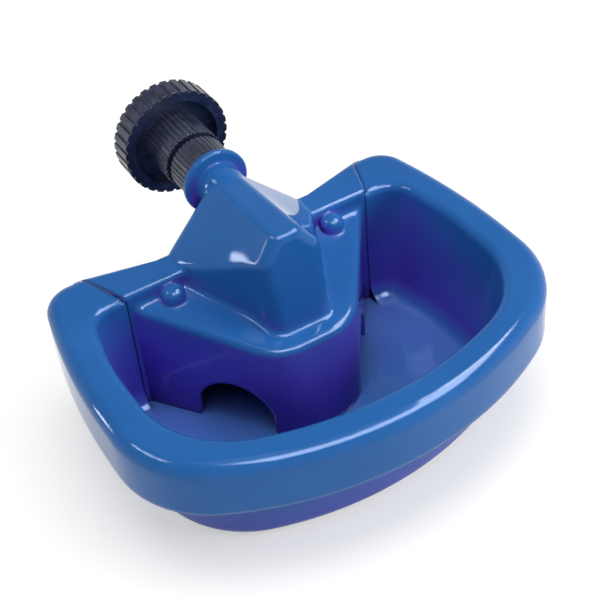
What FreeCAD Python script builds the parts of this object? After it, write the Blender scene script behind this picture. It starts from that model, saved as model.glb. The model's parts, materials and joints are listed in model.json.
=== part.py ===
# Poultry drinking cup: a moulded bowl, a cover screwed on over its float valve, and a threaded
# inlet shank that carries two ribbed hand nuts and the fluted cap of the water container.
# Millimetres. Origin: middle of the flat base. +Z is up, the drinking lip is at -Y, the inlet at +Y.
import FreeCAD, Part
import math
import os
import Sketcher

doc = FreeCAD.newDocument("DrinkingCup")


# Driving dimensions, and angles in degrees

sizes = {
    # rolled rim of the bowl
    "rim_width": 163.0,
    "rim_depth": 124.0,
    "rim_height": 54.0,
    "rim_drop": 21.0,
    "rim_back_inset": 9.2,
    "rim_side_break": 22.0,
    "rim_front_radius": 128.0,
    "rim_back_corner": 12.0,
    "rim_side_bend": 250.0,
    "rim_front_corner": 38.0,
    "rim_edge_rounding": 5.0,
    "rim_lip_rounding": 3.0,
    "rim_wall": 2.6,
    "rim_rib": 2.6,
    # tub of the bowl
    "rim_overhang": 14.0,
    "bowl_front": 49.0,
    "bowl_back": 40.2,
    "bowl_back_inset": 5.0,
    "bowl_side_break": 15.0,
    "bowl_front_radius": 125.0,
    "bowl_side_draft": 4.0,
    "bowl_front_draft": 7.8,
    "bowl_front_corner": 36.0,
    "bowl_back_corner": 9.0,
    "bowl_side_bend": 80.0,
    "bowl_wall": 2.8,
    "bowl_floor": 3.0,
    "bowl_floor_rounding": 8.0,
    "bowl_foot_rounding": 5.0,
    # bay of the bowl behind the cover
    "bay_half": 49.6,
    "bay_back": 45.5,
    "bay_rounding": 3.0,
    # cover: wings, lower walls and ledge
    "cover_wall": 2.5,
    "cover_clearance": 0.3,
    "seam_outer_half": 58.2,
    "seam_inner_half": 50.3,
    "seam_gap": 0.5,
    "wing_height": 55.5,
    "wing_drop": 18.0,
    "wing_root_half": 28.5,
    "wing_rounding": 2.0,
    "wing_root_rounding": 1.5,
    "slant_half": 47.8,
    "nose_half": 14.25,
    "nose_front": 7.0,
    "nose_lean": 2.5,
    "nose_corner": 20.0,
    "ledge_back_height": 48.8,
    "ledge_slope": 9.1,
    "ledge_rounding": 3.0,
    "crease_rounding": 2.5,
    "arch_half": 15.0,
    "arch_height": 20.2,
    "arch_centre": 11.0,
    # cover: hump over the valve
    "hump_back": 54.3,
    "hump_shoulder": 39.5,
    "hump_waist": 11.5,
    "hump_front": 2.5,
    "hump_half": 25.6,
    "hump_waist_half": 12.8,
    "hump_front_half": 12.2,
    "hump_foot": 40.0,
    "hump_front_lean": 6.6,
    "hump_corner_rounding": 6.0,
    "hump_eave_rounding": 4.0,
    "hump_front_rounding": 3.0,
    "ridge_back_half": 4.3,
    "ridge_front_half": 5.4,
    "ridge_back_height": 76.4,
    "ridge_front_height": 80.4,
    "eave_back_height": 56.2,
    "eave_shoulder_height": 57.0,
    "eave_waist_drop": 10.2,
    "eave_front_drop": 6.9,
    # cover screws with their bosses and posts
    "screw_half_spacing": 33.0,
    "screw_back": 37.5,
    "boss_radius": 4.5,
    "boss_top": 53.4,
    "boss_rounding": 3.4,
    "boss_skin": 2.8,
    "post_radius": 5.6,
    "post_top": 42.0,
    "screw_seat": 28.0,
    "screw_recess_radius": 4.2,
    "screw_radius": 1.9,
    "screw_hole_clearance": 0.3,
    "screw_head_radius": 3.6,
    "screw_head_height": 2.4,
    "screw_tip": 1.5,
    "screw_washer_thickness": 0.9,
    # inlet line, from the cover to the container
    "axis_height": 70.0,
    "fit_clearance": 0.05,
    "neck_radius": 8.4,
    "neck_taper": 10.0,
    "flange_radius": 12.6,
    "flange_back": 62.9,
    "flange_thickness": 2.8,
    "flange_rounding": 0.8,
    "shank_radius": 6.0,
    "shank_bore": 3.5,
    "shank_head_radius": 9.0,
    "shank_head_thickness": 2.0,
    "front_nut_radius": 10.9,
    "front_nut_length": 12.5,
    "nut_gap": 2.0,
    "rear_nut_radius": 11.7,
    "rear_nut_length": 16.8,
    "nut_rib_count": 36,
    "nut_groove_radius": 0.45,
    "cap_radius": 21.2,
    "cap_length": 9.9,
    "cap_recess_radius": 17.0,
    "cap_recess_depth": 3.0,
    "cap_plate": 2.0,
    "cap_thread_radius": 17.4,
    "cap_flute_count": 32,
    "cap_groove_radius": 0.8,
    "seal_thickness": 1.2,
    "seal_inset": 0.4,
    "gasket_width": 4.2,
    "strainer_length": 9.0,
    "strainer_wall": 0.7,
    "strainer_flange_radius": 5.5,
    # float valve
    "valve_boss_radius": 6.0,
    "valve_boss_front": 44.5,
    "valve_shoulder": 53.0,
    "nozzle_radius": 4.2,
    "nozzle_flange_radius": 5.6,
    "nozzle_seat": 43.0,
    "nozzle_seat_radius": 2.4,
    "nozzle_taper": 1.6,
    "nozzle_bore": 2.4,
    "nozzle_orifice": 1.1,
    "nozzle_orifice_length": 2.6,
    "pivot_back": 40.5,
    "pivot_height": 61.0,
    "pin_radius": 1.25,
    "lug_gap_half": 5.2,
    "lug_thickness": 2.4,
    "lug_set_in": 3.4,
    "hub_radius": 3.4,
    "hub_side_clearance": 0.3,
    "lever_width": 7.0,
    "lever_arm_thickness": 3.6,
    "lever_arm_rise": 12.4,
    "lever_opening": 10.0,
    "pad_radius": 3.0,
    "pad_thickness": 1.8,
    "pad_recess": 0.6,
    "pad_gap": 0.1,
    "float_top": 36.0,
    "float_height": 22.0,
    "float_front": 1.0,
    "float_back": 31.0,
    "float_front_half": 10.5,
    "float_back_half": 17.0,
    "float_rounding": 3.0,
    "foot_front": 9.0,
    "foot_back": 27.0,
    "foot_thickness": 3.2,
    "float_screw_back": 16.0,
    "float_screw_radius": 1.5,
    "float_screw_depth": 9.0,
    "float_screw_head_radius": 2.8,
    "float_screw_head_height": 2.0,
}

sheet = doc.addObject("Spreadsheet::Sheet", "Sizes")
for row, (alias, number) in enumerate(sizes.items(), 1):
    sheet.set("A%d" % row, alias)
    sheet.set("B%d" % row, str(number))
    sheet.setAlias("B%d" % row, alias)
doc.recompute()


# A size holds the expression that the document binds and the number that it comes to now,
# so that each formula is written once for both.

class Size:
    def __init__(self, text, number):
        self.text = text
        self.number = number

    def with_other(self, sign, other, number):
        text = other.text if isinstance(other, Size) else repr(other)
        return Size("(%s %s %s)" % (self.text, sign, text), number)

    def __add__(self, other):
        return self.with_other("+", other, self.number + number_of(other))

    def __sub__(self, other):
        return self.with_other("-", other, self.number - number_of(other))

    def __mul__(self, other):
        return self.with_other("*", other, self.number * number_of(other))

    def __truediv__(self, other):
        return self.with_other("/", other, self.number / number_of(other))

    def __neg__(self):
        return Size("(0 - %s)" % self.text, -self.number)


def number_of(value):
    return value.number if isinstance(value, Size) else value


def size(alias):
    return Size("Sizes.%s" % alias, float(sheet.get(alias)))


def root(value):
    return Size("sqrt(%s)" % value.text, math.sqrt(value.number))


def tangent(degrees):
    return Size("tan(%s)" % degrees.text, math.tan(math.radians(degrees.number)))


zero = Size("0", 0.0)
one = Size("1", 1.0)


# Outlines are lists of points, and the mirrored ones give their right half from the back
# to the front. Every outline runs clockwise.

def mirrored(half):
    return half + flipped(half)


def flipped(half):
    return [(-x, y) for x, y in reversed(half)]


def plane_of(body, role):
    return [item for item in body.Origin.OriginFeatures if item.Role == role][0]


def new_body(label, base=None):
    body = doc.addObject("PartDesign::Body", label)
    body.Label = label
    if base:
        body.BaseFeature = base
        doc.recompute()
    return body


def new_sketch(body, name, role, offset=zero):
    sketch = body.newObject("Sketcher::SketchObject", name)
    sketch.AttachmentSupport = [(plane_of(body, role), "")]
    sketch.MapMode = "FlatFace"
    sketch.AttachmentOffset = FreeCAD.Placement(FreeCAD.Vector(0, 0, offset.number), FreeCAD.Rotation())
    sketch.setExpression("AttachmentOffset.Base.z", offset.text)
    return sketch


def hold(sketch, kind, places, value):
    index = sketch.addConstraint(Sketcher.Constraint(kind, *places, value.number))
    sketch.setExpression("Constraints[%d]" % index, value.text)


def draw_outline(sketch, points, bows=None):
    """Closed clockwise outline; bows gives the radius of each side that is an outward arc."""
    bows = bows or {}
    first = sketch.GeometryCount
    count = len(points)
    corners = [FreeCAD.Vector(x.number, y.number, 0) for x, y in points]
    for side in range(count):
        start = corners[side]
        end = corners[(side + 1) % count]
        if side in bows:
            radius = bows[side].number
            half = (end - start) * 0.5
            inward = FreeCAD.Vector(half.y, -half.x, 0).normalize()
            centre = start + half + inward * math.sqrt(radius ** 2 - half.Length ** 2)
            circle = Part.Circle(centre, FreeCAD.Vector(0, 0, 1), radius)
            angles = [math.atan2(point.y - centre.y, point.x - centre.x) for point in (end, start)]
            sketch.addGeometry(Part.ArcOfCircle(circle, *angles), False)
        else:
            sketch.addGeometry(Part.LineSegment(start, end), False)
    for side in range(count):
        after = (side + 1) % count
        end_of_side = 1 if side in bows else 2
        start_of_after = 2 if after in bows else 1
        start_of_side = 2 if side in bows else 1
        sketch.addConstraint(Sketcher.Constraint(
            "Coincident", first + side, end_of_side, first + after, start_of_after))
        hold(sketch, "DistanceX", (-1, 1, first + side, start_of_side), points[side][0])
        hold(sketch, "DistanceY", (-1, 1, first + side, start_of_side), points[side][1])
    for side, radius in bows.items():
        hold(sketch, "Radius", (first + side,), radius)


def draw_circle(sketch, centre, radius):
    middle = FreeCAD.Vector(centre[0].number, centre[1].number, 0)
    index = sketch.addGeometry(Part.Circle(middle, FreeCAD.Vector(0, 0, 1), radius.number), False)
    hold(sketch, "DistanceX", (-1, 1, index, 3), centre[0])
    hold(sketch, "DistanceY", (-1, 1, index, 3), centre[1])
    hold(sketch, "Radius", (index,), radius)


def extrude(kind, body, sketch, length, midway=False, reverse=False):
    """Pads or pockets a sketch: a pad goes along the sketch's normal, a pocket against it."""
    before = body.Shape.Volume if body.Tip else 0.0
    feature = body.newObject("PartDesign::" + kind, sketch.Name + "_" + kind.lower())
    feature.Profile = sketch
    feature.SideType = "Symmetric" if midway else "One side"
    feature.Reversed = reverse
    feature.setExpression("Length", length.text)
    doc.recompute()
    change = body.Shape.Volume - before
    if (change <= 0) if kind == "Pad" else (change >= 0):
        raise ValueError("%s changes nothing: %s" % (kind, sketch.Name))
    return feature


def pad(body, sketch, length, midway=False, reverse=False):
    return extrude("Pad", body, sketch, length, midway, reverse)


def pocket(body, sketch, length, midway=False, reverse=False):
    return extrude("Pocket", body, sketch, length, midway, reverse)


def loft(body, sketches, name):
    """Smooth loft through the sections, so that its long sides have no break at a section."""
    feature = body.newObject("PartDesign::AdditiveLoft", name)
    feature.Profile = sketches[0]
    feature.Sections = sketches[1:]
    feature.Ruled = False
    doc.recompute()
    return feature


def round_edges(body, name, radius, wanted):
    base = body.Tip
    edges = ["Edge%d" % number for number, edge in enumerate(base.Shape.Edges, 1) if wanted(edge)]
    feature = body.newObject("PartDesign::Fillet", name)
    feature.Base = (base, edges)
    feature.Radius = radius.number
    feature.setExpression("Radius", radius.text)
    doc.recompute()
    return feature


def repeat_round(body, feature, name, axis, count):
    ring = body.newObject("PartDesign::PolarPattern", name)
    ring.Originals = [feature]
    ring.Axis = (plane_of(body, axis), [""])
    ring.Angle = 360.0
    ring.setExpression("Occurrences", count.text)
    body.Tip = ring
    doc.recompute()
    return ring


def middle_of(edge):
    return edge.valueAt((edge.FirstParameter + edge.LastParameter) / 2)


def is_upright(edge):
    box = edge.BoundBox
    return box.ZLength > 2 * max(box.XLength, box.YLength, 0.5)


def is_rising(edge):
    return edge.BoundBox.ZLength > 3


def is_level(edge, height):
    box = edge.BoundBox
    return abs(box.ZMin - height.number) < 0.01 and abs(box.ZMax - height.number) < 0.01


def set_place(thing, x=zero, y=zero, z=zero):
    for name, value in zip("xyz", (x, y, z)):
        thing.setExpression("Placement.Base." + name, value.text)


def set_turn(thing, axis, start, text):
    thing.Placement = FreeCAD.Placement(FreeCAD.Vector(0, 0, 0), FreeCAD.Rotation(axis, start))
    thing.setExpression("Placement.Rotation.Angle", text)


def combine(kind, label, first, others):
    result = doc.addObject("Part::" + kind, label)
    if kind == "Cut":
        result.Base = first
        result.Tool = others
    else:
        result.Shapes = [first] + others
    result.Refine = True
    doc.recompute()
    return result


def prism(label, points, bottom, height, bows=None):
    body = new_body(label)
    sketch = new_sketch(body, label + "_plan", "XY_Plane", bottom)
    draw_outline(sketch, points, bows)
    pad(body, sketch, height)
    return body


# Round pieces. Their profiles are steps of (place along the axis, radius), clockwise.

def turned(label, steps, upright=False):
    body = new_body(label)
    sketch = new_sketch(body, label + "_profile", "YZ_Plane")
    draw_outline(sketch, [(radius, place) for place, radius in reversed(steps)] if upright else steps)
    feature = body.newObject("PartDesign::Revolution", label + "_turn")
    feature.Profile = sketch
    feature.ReferenceAxis = (sketch, ["V_Axis" if upright else "H_Axis"])
    feature.Angle = 360.0
    doc.recompute()
    return body


def ring_steps(front, back, inner, outer):
    return [(front, inner), (front, outer), (back, outer), (back, inner)]


def on_inlet_axis(body):
    set_place(body, z=size("axis_height"))
    return body


# Places that several pieces share

rim_half = size("rim_width") / 2
rim_end = size("rim_depth") / 2
rim_under = size("rim_height") - size("rim_drop")
bowl_half = rim_half - size("rim_overhang")
bowl_behind = size("bowl_back") + size("bowl_wall")
bay_behind = size("bay_back") + size("bowl_wall")
wing_under = size("wing_height") - size("cover_wall")
wing_root_back = bay_behind + size("cover_clearance") + size("cover_wall")
seam_slope = (size("seam_outer_half") - size("seam_inner_half")) / (rim_end - size("bowl_back"))
slant = (size("slant_half") - size("nose_half")) / (size("bowl_back") + size("nose_front"))
slant_run = root(slant * slant + 1)
ledge_fall = tangent(size("ledge_slope"))
eave_front_height = size("ridge_front_height") - size("eave_front_drop")


def seam_half(depth):
    return size("seam_inner_half") + seam_slope * (depth - size("bowl_back"))


def screw_places():
    return (("left", -size("screw_half_spacing")), ("right", size("screw_half_spacing")))


def arc_start(front, radius, half_width):
    """Depth where the front arc of that radius reaches the half width."""
    return radius - root(radius * radius - half_width * half_width) - front


def ledge_height(depth):
    return size("ledge_back_height") - ledge_fall * (size("bowl_back") - depth)


# Bowl

def rim_form():
    """The rolled rim: an inverted tray, open below, whose skirt hides the top of the tub."""
    body = new_body("rim_form")
    corner = arc_start(rim_end, size("rim_front_radius"), rim_half)
    half = [
        (rim_half - size("rim_back_inset"), rim_end),
        (rim_half, size("rim_side_break")),
        (rim_half, corner),
    ]
    sketch = new_sketch(body, "rim_outline", "XY_Plane", rim_under)
    draw_outline(sketch, mirrored(half), {2: size("rim_front_radius")})
    pad(body, sketch, size("rim_drop"))
    side_break = size("rim_side_break").number
    round_edges(body, "rim_back_corners", size("rim_back_corner"),
                lambda edge: is_upright(edge) and middle_of(edge).y > side_break + 1)
    round_edges(body, "rim_side_bends", size("rim_side_bend"),
                lambda edge: is_upright(edge) and abs(middle_of(edge).y - side_break) < 0.1)
    round_edges(body, "rim_front_corners", size("rim_front_corner"),
                lambda edge: is_upright(edge) and middle_of(edge).y < corner.number + 0.1)
    block = round_edges(body, "rim_rounding", size("rim_edge_rounding"),
                        lambda edge: is_level(edge, size("rim_height")))
    shell = body.newObject("PartDesign::Thickness", "rim_shell")
    shell.Base = (block, [
        "Face%d" % number for number, face in enumerate(block.Shape.Faces, 1)
        if face.BoundBox.ZMax < rim_under.number + 0.01
    ])
    shell.setExpression("Value", size("rim_wall").text)
    shell.Reversed = True
    doc.recompute()
    return body


def draft(body, name, degrees, wanted):
    """Leans the wanted faces inward, from the level top face down."""
    base = body.Tip
    faces = ["Face%d" % number for number, face in enumerate(base.Shape.Faces, 1) if wanted(face)]
    top = max(range(len(base.Shape.Faces)), key=lambda index: base.Shape.Faces[index].BoundBox.ZMin)
    feature = body.newObject("PartDesign::Draft", name)
    feature.Base = (base, faces)
    feature.NeutralPlane = (base, ["Face%d" % (top + 1)])
    feature.Reversed = True
    feature.setExpression("Angle", degrees.text)
    doc.recompute()
    return feature


def tub_form(label, outset, bottom, foot_rounding):
    """The drafted tub: its outer skin, or the hollow inside it where there is no outset."""
    body = new_body(label)
    half_width = bowl_half + outset
    radius = size("bowl_front_radius") + outset
    half = [
        (half_width - size("bowl_back_inset"), size("bowl_back") + outset),
        (half_width, size("bowl_side_break")),
        (half_width, arc_start(size("bowl_front") + outset, radius, half_width)),
    ]
    sketch = new_sketch(body, label + "_mouth", "XY_Plane", size("rim_height"))
    draw_outline(sketch, mirrored(half), {2: radius})
    pad(body, sketch, size("rim_height") - bottom, reverse=True)
    draft(body, label + "_side_draft", size("bowl_side_draft"),
          lambda face: face.BoundBox.ZLength > 1 and face.BoundBox.XLength < half_width.number / 2)
    draft(body, label + "_front_draft", size("bowl_front_draft"),
          lambda face: face.Surface.TypeId == "Part::GeomCylinder")
    side_break = size("bowl_side_break").number
    band = size("bowl_back_corner").number / 2
    round_edges(body, label + "_back_corners", size("bowl_back_corner") + outset,
                lambda edge: is_upright(edge) and middle_of(edge).y > side_break + band)
    round_edges(body, label + "_side_bends", size("bowl_side_bend"),
                lambda edge: is_upright(edge) and abs(middle_of(edge).y - side_break) < band)
    round_edges(body, label + "_front_corners", size("bowl_front_corner") + outset,
                lambda edge: is_upright(edge) and middle_of(edge).y < side_break - band)
    round_edges(body, label + "_foot_rounding", foot_rounding,
                lambda edge: is_level(edge, bottom))
    return body


def seam_region(front, back, margin):
    """Plan between the two slanting seams, from one depth to another, with a margin outside."""
    return mirrored([(seam_half(back) + margin, back), (seam_half(front) + margin, front)])


def make_bowl():
    skins = combine("MultiFuse", "bowl_skins", rim_form(), [
        tub_form("tub_outside", size("bowl_wall"), zero, size("bowl_foot_rounding")),
    ])
    hollow = tub_form("tub_inside", zero, size("bowl_floor"), size("bowl_floor_rounding"))
    bowl = new_body("bowl", combine("Cut", "bowl_shell", skins, hollow))

    outer = rim_half.number - size("rim_edge_rounding").number
    round_edges(bowl, "lip_rounding", size("rim_lip_rounding"),
                lambda edge: is_level(edge, size("rim_height"))
                and max(abs(edge.BoundBox.XMin), abs(edge.BoundBox.XMax)) < outer
                and -size("bowl_front").number - 1 < middle_of(edge).y < size("bowl_back").number + 1)

    ribs = new_sketch(bowl, "seam_ribs", "XY_Plane", rim_under)
    near = size("bowl_back") + size("bowl_wall") / 2
    far = rim_end - size("rim_wall") / 2
    rib = [
        (seam_half(far), far),
        (seam_half(far) + size("rim_rib"), far),
        (seam_half(near) + size("rim_rib"), near),
        (seam_half(near), near),
    ]
    draw_outline(ribs, rib)
    draw_outline(ribs, flipped(rib))
    pad(bowl, ribs, size("rim_drop") - size("rim_wall") / 2)

    under = new_sketch(bowl, "rim_break", "XY_Plane", size("rim_height"))
    draw_outline(under, seam_region(bowl_behind, rim_end + size("rim_wall"), zero))
    pocket(bowl, under, size("rim_drop"))

    bay_half = size("bay_half")
    walls = new_sketch(bowl, "bay_walls", "XY_Plane")
    draw_outline(walls, mirrored([
        (bay_half + size("bowl_wall"), bay_behind),
        (bay_half + size("bowl_wall"), size("bowl_back") + size("bowl_wall") / 2),
    ]))
    pad(bowl, walls, size("rim_height"))
    round_edges(bowl, "bay_corners", size("bay_rounding"),
                lambda edge: is_upright(edge) and abs(middle_of(edge).y - bay_behind.number) < 0.1)
    round_edges(bowl, "bay_foot", size("bay_rounding"),
                lambda edge: is_level(edge, zero)
                and edge.BoundBox.YMax > bay_behind.number - size("bay_rounding").number / 2)
    inside = new_sketch(bowl, "bay_inside", "XY_Plane", size("rim_height"))
    draw_outline(inside, mirrored([
        (bay_half, size("bay_back")),
        (bay_half, size("bowl_back") - size("bowl_floor_rounding")),
    ]))
    pocket(bowl, inside, size("rim_height") - size("bowl_floor"))

    top = new_sketch(bowl, "wing_seat", "XY_Plane", size("rim_height"))
    draw_outline(top, seam_region(size("bowl_back"), rim_end + size("rim_wall"), zero))
    pocket(bowl, top, size("rim_height") - wing_under + size("cover_clearance"))

    posts = new_sketch(bowl, "posts", "XY_Plane")
    recesses = new_sketch(bowl, "post_recesses", "XY_Plane")
    holes = new_sketch(bowl, "post_holes", "XY_Plane")
    for name, x in screw_places():
        centre = (x, size("screw_back"))
        draw_circle(posts, centre, size("post_radius"))
        draw_circle(recesses, centre, size("screw_recess_radius"))
        draw_circle(holes, centre, size("screw_radius") + size("screw_hole_clearance"))
    pad(bowl, posts, size("post_top"))
    pocket(bowl, recesses, size("screw_seat"), reverse=True)
    pocket(bowl, holes, size("post_top"), reverse=True)
    return bowl


# Cover

def lower_form(label, inset):
    """Slanting side walls, blunt leaning nose and sloping ledge, or the hollow inside them."""
    body = new_body(label)
    inner = inset.number > 0
    half_width = size("bay_half") - size("cover_clearance") - inset
    back = size("bowl_back") + size("cover_wall")
    bottom = size("bowl_floor") + size("cover_clearance")
    sunk = inset * root(ledge_fall * ledge_fall + 1)
    front = inset - size("nose_front")
    front_top = front + size("nose_lean")
    profile = [(front_top, ledge_height(front_top) - sunk)]
    if inner:
        back = back + inset / 2
        bottom = bottom - inset / 2
        profile += [(back, ledge_height(back) - sunk)]
    else:
        profile += [
            (size("bowl_back"), size("ledge_back_height")),
            (size("bowl_back"), size("wing_height")),
            (back, size("wing_height")),
        ]
    profile += [(back, bottom), (front, bottom)]
    side_view = new_sketch(body, label + "_side", "YZ_Plane")
    draw_outline(side_view, profile)
    pad(body, side_view, half_width * 2, midway=True)

    corner_x = size("nose_half") - inset * (slant_run - slant)
    shoulder_y = size("bowl_back") + (inset * (slant_run - 1) + (
        size("bay_half") - size("cover_clearance") - size("slant_half"))) / slant
    shoulder_x = half_width
    reach = size("nose_corner")
    if not inner:
        shoulder_y = size("bowl_back")
        shoulder_x = size("slant_half")
    wedge = [
        (shoulder_x, shoulder_y),
        (half_width + reach, shoulder_y),
        (half_width + reach, front - reach),
        (corner_x - slant * reach, front - reach),
    ]
    plan = new_sketch(body, label + "_wedges", "XY_Plane", zero)
    draw_outline(plan, wedge)
    draw_outline(plan, flipped(wedge))
    pocket(body, plan, size("rim_height"), reverse=True)
    round_edges(body, label + "_nose", size("nose_corner") - inset,
                lambda edge: is_upright(edge) and middle_of(edge).y < size("nose_lean").number)
    return body


def along_ridge(depth, back, front):
    return back + (front - back) * (size("hump_back") - depth) / (size("hump_back") - size("hump_front"))


def ridge_height(depth):
    return along_ridge(depth, size("ridge_back_height"), size("ridge_front_height"))


def hump_form(label, inset):
    """The roofed hump through four stations, with a leaning back and a leaning front."""
    body = new_body(label)
    margin = size("cover_wall")
    stations = [
        (size("hump_back") + margin, size("hump_half"), size("eave_back_height")),
        (size("hump_shoulder"), size("hump_half"), size("eave_shoulder_height")),
        (size("hump_waist"), size("hump_waist_half"),
         ridge_height(size("hump_waist")) - size("eave_waist_drop")),
        (size("hump_front") - margin, size("hump_front_half"), eave_front_height),
    ]
    sections = []
    for number, (depth, half, eave) in enumerate(stations):
        ridge_half = along_ridge(depth, size("ridge_back_half"), size("ridge_front_half"))
        ridge = ridge_height(depth)
        pitch = (ridge - eave) / (half - ridge_half)
        run = root(pitch * pitch + 1)
        points = [
            (ridge_half - inset * (run - 1) / pitch, ridge - inset),
            (half - inset, eave - inset * (run - pitch)),
            (half - inset, size("hump_foot") - inset),
        ]
        sketch = new_sketch(body, "%s_section_%d" % (label, number), "XZ_Plane", -depth)
        draw_outline(sketch, mirrored(points))
        sections.append(sketch)
    loft(body, sections, label + "_loft")

    top = size("ridge_front_height") + margin
    low = size("hump_foot") - size("cover_wall") * 2
    back_lean = (size("hump_back") - wing_root_back) / (size("ridge_back_height") - size("wing_height"))
    front_lean = size("hump_front_lean") / (size("ridge_front_height") - size("hump_foot"))

    def back_at(level):
        return wing_root_back - inset + back_lean * (level - size("wing_height"))

    def front_at(level):
        return size("hump_front") + inset + front_lean * (level - size("hump_foot"))

    far_back = size("hump_back") + margin * 4
    far_front = size("hump_front") - margin * 4
    ends = new_sketch(body, label + "_ends", "YZ_Plane")
    draw_outline(ends, [(back_at(top), top), (far_back, top), (far_back, low), (back_at(low), low)])
    draw_outline(ends, [(far_front, top), (front_at(top), top), (front_at(low), low), (far_front, low)])
    pocket(body, ends, size("hump_half") * 3, midway=True)
    if inset.number == 0:
        waist = size("hump_waist").number
        length = size("hump_back").number - waist
        round_edges(body, label + "_front_corners", size("hump_corner_rounding"),
                    lambda edge: is_upright(edge) and middle_of(edge).y < waist)
        round_edges(body, label + "_eaves", size("hump_eave_rounding"),
                    lambda edge: edge.BoundBox.YLength > length / 2 and edge.BoundBox.ZLength > length / 8
                    and abs(middle_of(edge).x) > size("ridge_front_half").number * 1.5)
        high = eave_front_height.number - size("hump_corner_rounding").number / 2
        round_edges(body, label + "_front_top", size("hump_front_rounding"),
                    lambda edge: edge.BoundBox.YMax < waist - 1.5 and edge.BoundBox.ZMin > high
                    and (is_rising(edge) or edge.BoundBox.ZMin > high + size("hump_corner_rounding").number))
    return body


def wing_plate():
    return prism("wing_plate", mirrored([
        (size("wing_root_half"), wing_root_back),
        (seam_half(rim_end) - size("seam_gap"), rim_end),
        (seam_half(size("bowl_back")) - size("seam_gap"), size("bowl_back")),
    ]), wing_under, size("cover_wall"))


def wing_skirt():
    rise = (rim_end - wing_root_back) / (seam_half(rim_end) - size("wing_root_half"))
    thick = size("cover_wall") * root(rise * rise + 1)
    inner_end = rim_end - thick
    return prism("wing_skirt", mirrored([
        (size("wing_root_half"), wing_root_back),
        (seam_half(rim_end) - size("seam_gap"), rim_end),
        (seam_half(inner_end) - size("seam_gap"), inner_end),
        (size("wing_root_half"), wing_root_back - size("cover_wall")),
    ]), size("wing_height") - size("wing_drop"), size("wing_drop"))


def neck():
    """Round neck and flange behind the hump, tapered where it comes out of the ridge."""
    flange_front = size("flange_back") - size("flange_thickness")
    body = on_inlet_axis(turned("neck", [
        (size("hump_back") - size("neck_taper"), zero),
        (size("hump_back") - size("neck_taper"), size("valve_boss_radius")),
        (size("hump_back"), size("neck_radius")),
        (flange_front, size("neck_radius")),
        (flange_front, size("flange_radius")),
        (size("flange_back"), size("flange_radius")),
        (size("flange_back"), zero),
    ]))
    round_edges(body, "flange_rounding", size("flange_rounding"),
                lambda edge: edge.BoundBox.XLength > size("flange_radius").number * 1.9)
    return body


def arch_form(label, side):
    """Cutter for the water opening in one slanting wall: straight feet under a half circle."""
    body = new_body(label)
    depth = size("cover_wall") * 4
    crown = size("bowl_floor") + size("arch_height") - size("arch_half")
    feet = new_sketch(body, label + "_feet", "XZ_Plane")
    draw_outline(feet, mirrored([(size("arch_half"), crown), (size("arch_half"), zero)]))
    pad(body, feet, depth, midway=True)
    bow = new_sketch(body, label + "_bow", "XZ_Plane")
    draw_circle(bow, (zero, crown), size("arch_half"))
    pad(body, bow, depth, midway=True)
    turn = math.degrees(math.atan(1 / slant.number)) * side.number
    set_turn(body, FreeCAD.Vector(0, 0, 1), turn, "%s * atan(1 / %s)" % (side.text, slant.text))
    middle = size("arch_centre")
    set_place(body, side * (size("nose_half") + slant * (middle + size("nose_front"))), middle)
    return body


def is_on_ledge(edge):
    """True for an edge in the sloping plane of the ledge, in front of the wings."""
    back = size("bowl_back").number
    points = [middle_of(edge)] + [edge.valueAt(place) for place in (edge.FirstParameter, edge.LastParameter)]
    heights = [size("ledge_back_height").number - ledge_fall.number * (back - point.y) for point in points]
    return edge.BoundBox.YMin < back - 1 and all(
        abs(point.z - height) < 0.05 for point, height in zip(points, heights))


def is_crease(edge):
    """True for the foot of the hump on the ledge."""
    middle = middle_of(edge)
    wall = size("nose_half").number + slant.number * (middle.y + size("nose_front").number)
    return is_on_ledge(edge) and middle.y > size("hump_front").number and abs(middle.x) < wall * 0.75


def cover_skin(outside):
    """The outer form of the cover with its soft creases and edges."""
    skin = new_body("cover_skin", outside)
    step = size("bowl_back").number
    shoulder = size("hump_half").number
    round_edges(skin, "crease_rounding", size("crease_rounding"),
                lambda edge: is_crease(edge) or is_level(edge, size("ledge_back_height"))
                and abs(middle_of(edge).x) > shoulder)
    round_edges(skin, "wing_rounding", size("wing_rounding"),
                lambda edge: is_level(edge, size("wing_height")) and edge.BoundBox.YLength < 0.1
                and abs(middle_of(edge).y - step) < 0.1 and abs(middle_of(edge).x) > shoulder)
    round_edges(skin, "ledge_rounding", size("ledge_rounding"),
                lambda edge: is_on_ledge(edge) and abs(middle_of(edge).y) < step
                and edge.BoundBox.YMin < size("hump_waist").number
                and not is_crease(edge))
    round_edges(skin, "wing_root_rounding", size("wing_root_rounding"),
                lambda edge: is_level(edge, size("wing_height")) and edge.BoundBox.XLength < 3
                and edge.BoundBox.YLength > 1 and edge.BoundBox.YMin > step - 0.5
                and abs(abs(middle_of(edge).x) - shoulder) < 2)
    round_edges(skin, "wing_back_rounding", size("wing_root_rounding"),
                lambda edge: is_level(edge, size("wing_height")) and edge.BoundBox.XLength > 20
                and edge.BoundBox.YLength > 5 and edge.BoundBox.YMin > wing_root_back.number - 1)
    return skin


def screw_boss(label, x):
    """Blind screw boss that stands on the bowl's post and ends in a low dome above the ledge."""
    body = turned(label, [
        (size("post_top"), zero),
        (size("post_top"), size("boss_radius")),
        (size("boss_top"), size("boss_radius")),
        (size("boss_top"), zero),
    ], upright=True)
    round_edges(body, label + "_dome", size("boss_rounding"),
                lambda edge: is_level(edge, size("boss_top")) and edge.BoundBox.XLength > 1.5 * size("boss_radius").number)
    set_place(body, x, size("screw_back"))
    return body


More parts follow.
